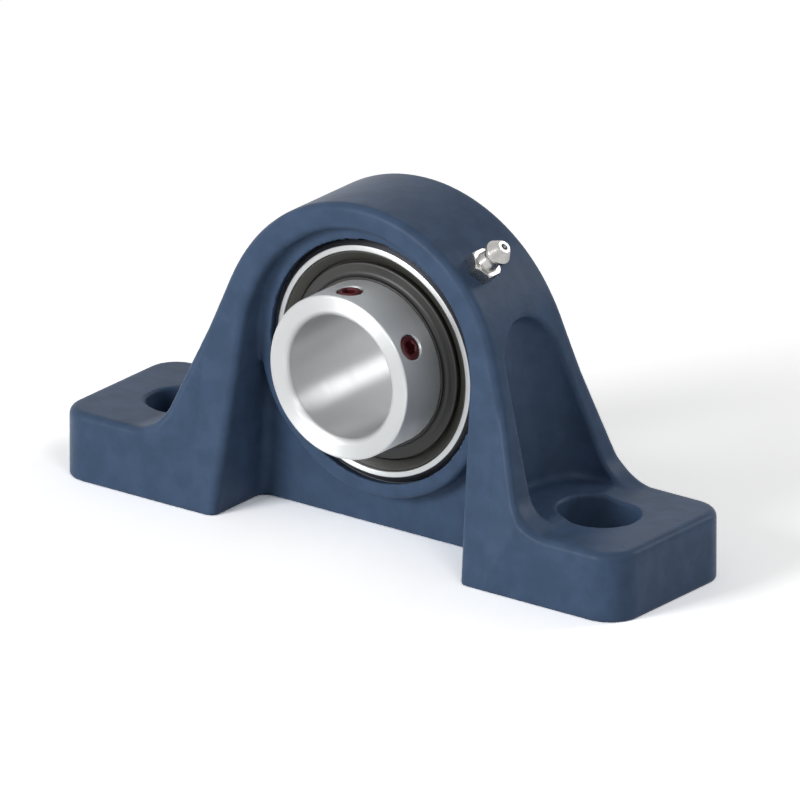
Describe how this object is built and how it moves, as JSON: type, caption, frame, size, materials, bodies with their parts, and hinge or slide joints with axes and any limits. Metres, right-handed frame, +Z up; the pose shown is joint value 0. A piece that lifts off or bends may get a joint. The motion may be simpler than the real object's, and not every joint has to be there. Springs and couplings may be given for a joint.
{
  "type": "pillow block bearing",
  "caption": "Cast foot-mounted housing with a self-aligning insert ball bearing, sealed on both sides, whose extended inner ring grips a shaft with set screws.",
  "frame": {"origin": "on the base plane, under the centre of the bearing", "axes": "+X along the foot, -Y along the shaft towards the set screw side (the front), +Z up"},
  "size_m": [0.165, 0.044, 0.0828],
  "materials": {
    "housing_paint": "satin paint over sand-cast iron",
    "ring_steel": "ground",
    "ball_steel": "polished",
    "cage_nylon": "moulded",
    "seal_steel": "black coated sheet steel",
    "seal_rubber": "moulded",
    "screw_coat": "dark red thread lock over steel",
    "nipple_zinc": "zinc plated"
  },
  "bodies": {
    "housing": {"housing": "housing_paint", "nipple_body": "nipple_zinc", "nipple_spring": "ball_steel"},
    "insert": {"outer_ring": "ring_steel", "front_seal_shield": "seal_steel", "front_seal_lip": "seal_rubber", "rear_seal_shield": "seal_steel", "rear_seal_lip": "seal_rubber"},
    "rotor": {"inner_ring": "ring_steel", "front_flinger": "seal_steel", "rear_flinger": "seal_steel"},
    "cage": {"cage": "cage_nylon"},
    "ball_1": {"ball_1": "ball_steel"},
    "ball_2": {"ball_2": "ball_steel"},
    "ball_3": {"ball_3": "ball_steel"},
    "ball_4": {"ball_4": "ball_steel"},
    "ball_5": {"ball_5": "ball_steel"},
    "ball_6": {"ball_6": "ball_steel"},
    "ball_7": {"ball_7": "ball_steel"},
    "ball_8": {"ball_8": "ball_steel"},
    "ball_9": {"ball_9": "ball_steel"},
    "set_screw_1": {"set_screw_1": "screw_coat"},
    "set_screw_2": {"set_screw_2": "screw_coat"},
    "nipple_ball": {"nipple_ball": "ball_steel"}
  },
  "joints": [
    {"name": "align_tilt", "type": "hinge", "parent": "housing", "child": "insert", "pos_m": [0, 0, 0.0429], "axis": [1, 0, 0], "range_deg": [-5, 5]},
    {"name": "shaft_spin", "type": "hinge", "parent": "insert", "child": "rotor", "pos_m": [0, 0, 0.0429], "axis": [0, 1, 0], "continuous": true},
    {"name": "cage_spin", "type": "hinge", "parent": "insert", "child": "cage", "pos_m": [0, 0, 0.0429], "axis": [0, 1, 0], "continuous": true},
    {"name": "ball_1_spin", "type": "hinge", "parent": "cage", "child": "ball_1", "pos_m": [0, 0, 0.0659], "axis": [0, 1, 0], "continuous": true},
    {"name": "ball_2_spin", "type": "hinge", "parent": "cage", "child": "ball_2", "pos_m": [-0.01478, 0, 0.06052], "axis": [0, 1, 0], "continuous": true},
    {"name": "ball_3_spin", "type": "hinge", "parent": "cage", "child": "ball_3", "pos_m": [-0.02265, 0, 0.04689], "axis": [0, 1, 0], "continuous": true},
    {"name": "ball_4_spin", "type": "hinge", "parent": "cage", "child": "ball_4", "pos_m": [-0.01992, 0, 0.0314], "axis": [0, 1, 0], "continuous": true},
    {"name": "ball_5_spin", "type": "hinge", "parent": "cage", "child": "ball_5", "pos_m": [-0.00787, 0, 0.02129], "axis": [0, 1, 0], "continuous": true},
    {"name": "ball_6_spin", "type": "hinge", "parent": "cage", "child": "ball_6", "pos_m": [0.00787, 0, 0.02129], "axis": [0, 1, 0], "continuous": true},
    {"name": "ball_7_spin", "type": "hinge", "parent": "cage", "child": "ball_7", "pos_m": [0.01992, 0, 0.0314], "axis": [0, 1, 0], "continuous": true},
    {"name": "ball_8_spin", "type": "hinge", "parent": "cage", "child": "ball_8", "pos_m": [0.02265, 0, 0.04689], "axis": [0, 1, 0], "continuous": true},
    {"name": "ball_9_spin", "type": "hinge", "parent": "cage", "child": "ball_9", "pos_m": [0.01478, 0, 0.06052], "axis": [0, 1, 0], "continuous": true},
    {"name": "set_screw_1_travel", "type": "slide", "parent": "rotor", "child": "set_screw_1", "axis": [-0.0349, 0, 0.9994], "range_m": [-0.001, 0.0035]},
    {"name": "set_screw_2_travel", "type": "slide", "parent": "rotor", "child": "set_screw_2", "axis": [0.866, 0, 0.5], "range_m": [-0.001, 0.0035]},
    {"name": "nipple_ball_press", "type": "slide", "parent": "housing", "child": "nipple_ball", "axis": [0.7071, 0, 0.7071], "range_m": [-0.0008, 0], "stiffness_N_per_m": 300, "springref_m": 0.0003, "deforming": ["nipple_spring"]}
  ],
  "couplings": [
    {"joint": "cage_spin", "follows": "shaft_spin", "ratio": 0.39647},
    {"joint": "ball_1_spin", "follows": "shaft_spin", "ratio": -2.3112},
    {"joint": "ball_2_spin", "follows": "shaft_spin", "ratio": -2.3112},
    {"joint": "ball_3_spin", "follows": "shaft_spin", "ratio": -2.3112},
    {"joint": "ball_4_spin", "follows": "shaft_spin", "ratio": -2.3112},
    {"joint": "ball_5_spin", "follows": "shaft_spin", "ratio": -2.3112},
    {"joint": "ball_6_spin", "follows": "shaft_spin", "ratio": -2.3112},
    {"joint": "ball_7_spin", "follows": "shaft_spin", "ratio": -2.3112},
    {"joint": "ball_8_spin", "follows": "shaft_spin", "ratio": -2.3112},
    {"joint": "ball_9_spin", "follows": "shaft_spin", "ratio": -2.3112}
  ]
}
